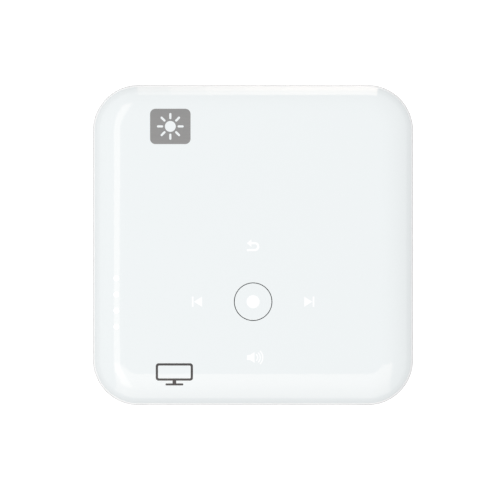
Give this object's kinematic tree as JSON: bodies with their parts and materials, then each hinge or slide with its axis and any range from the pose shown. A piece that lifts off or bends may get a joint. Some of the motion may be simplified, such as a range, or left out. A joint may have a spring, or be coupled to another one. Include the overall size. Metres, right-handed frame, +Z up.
{
  "type": "pocket projector",
  "caption": "Pocket projector in a glossy square housing, with a round key, touch marks, an off-centre lens with a focus thumb wheel, rear sockets and a tripod thread.",
  "frame": {"origin": "centre of the footprint, on the plane that the feet stand on", "axes": "+Z up; +Y is the way the lens looks; -Y is the side with the sockets; +X is the right side seen from behind the lens, with the focus wheel"},
  "size_m": [0.08, 0.08, 0.022],
  "materials": {
    "gloss_white": "high gloss",
    "frame_white": "satin gloss",
    "base_white": "fine matt",
    "panel_grey": "fine matt",
    "bright_metal": "satin",
    "soft_rubber": "matt",
    "screw_steel": "plain",
    "insert_brass": "turned",
    "dark_rubber": "matt",
    "black_plastic": "matt",
    "grey_plastic": "matt",
    "board_green": "solder mask",
    "clear_plastic": "frosted",
    "lamp_yellow": "resin",
    "ribbon_white": "film",
    "socket_steel": "nickel plated",
    "cell_foil": "foil",
    "lead_red": "insulation",
    "cone_paper": "film",
    "magnet_steel": "plated",
    "fin_metal": "mill",
    "pipe_copper": "copper",
    "engine_metal": "black cast",
    "lens_glass": "coated",
    "chip_ceramic": "matt"
  },
  "bodies": {
    "housing": {"top_cover": "gloss_white", "side_frame": "frame_white", "bottom_cover": "base_white", "rear_panel": "panel_grey", "lens_bezel": "bright_metal", "rubber_feet": "soft_rubber", "housing_screws": "screw_steel", "tripod_insert": "insert_brass", "tact_switch": "socket_steel", "touch_board": "board_green", "light_guide": "clear_plastic", "key_lamps": "lamp_yellow", "touch_ribbon": "ribbon_white", "ribbon_sockets": "black_plastic", "main_board": "board_green", "board_screws": "screw_steel", "board_parts": "black_plastic", "processor": "chip_ceramic", "hdmi_port": "socket_steel", "usb_port": "socket_steel", "charging_port": "socket_steel", "port_tongues": "black_plastic", "audio_jack": "black_plastic", "card_socket": "socket_steel", "power_switch": "socket_steel", "battery_pack": "cell_foil", "battery_tray": "black_plastic", "battery_leads": "lead_red", "speaker_frame": "black_plastic", "speaker_cone": "cone_paper", "speaker_magnet": "magnet_steel", "blower_case": "black_plastic", "blower_lid": "bright_metal", "blower_motor": "magnet_steel", "fin_stack": "fin_metal", "heat_pipe": "pipe_copper", "engine_case": "engine_metal", "engine_lid": "engine_metal", "engine_screws": "screw_steel", "ring_clip": "screw_steel", "wheel_axle": "screw_steel", "prism": "lens_glass", "dmd_chip": "chip_ceramic", "relay_lens": "lens_glass", "fly_eye_lens": "lens_glass", "dichroic_plate": "lens_glass", "led_modules": "board_green", "collimators": "lens_glass"},
    "round_key": {"ok_key": "gloss_white", "key_collar": "dark_rubber", "switch_plunger": "black_plastic"},
    "knob": {"power_knob": "grey_plastic"},
    "thumb_wheel": {"focus_wheel": "grey_plastic"},
    "lens_ring": {"focus_ring": "black_plastic"},
    "lens": {"lens_barrel": "black_plastic", "front_lens": "lens_glass", "rear_lens": "lens_glass", "lens_retainer": "black_plastic", "cam_pin": "screw_steel"},
    "fan": {"impeller": "black_plastic"}
  },
  "joints": [
    {"name": "key_press", "type": "slide", "parent": "housing", "child": "round_key", "axis": [0, 0, -1], "range_m": [0, 0.00035], "stiffness_N_per_m": 1500, "springref_m": -0.0004},
    {"name": "power_slide", "type": "slide", "parent": "housing", "child": "knob", "axis": [0, 1, 0], "range_m": [0, 0.003]},
    {"name": "focus_turn", "type": "hinge", "parent": "housing", "child": "thumb_wheel", "pos_m": [0.0334, 0.0235, 0.0112], "axis": [0, 1, 0], "range_deg": [-58.3, 58.3]},
    {"name": "ring_turn", "type": "hinge", "parent": "housing", "child": "lens_ring", "pos_m": [0.0204, 0.0235, 0.0112], "axis": [0, 1, 0], "range_deg": [-50, 50]},
    {"name": "lens_slide", "type": "slide", "parent": "housing", "child": "lens", "axis": [0, 1, 0], "range_m": [-0.001, 0.001]},
    {"name": "fan_spin", "type": "hinge", "parent": "housing", "child": "fan", "pos_m": [-0.0194, 0.0234, 0.007], "axis": [0, 0, 1], "continuous": true}
  ],
  "couplings": [
    {"joint": "ring_turn", "follows": "focus_turn", "ratio": -0.85714},
    {"joint": "lens_slide", "follows": "focus_turn", "m_per_rad": 0.00098221}
  ]
}
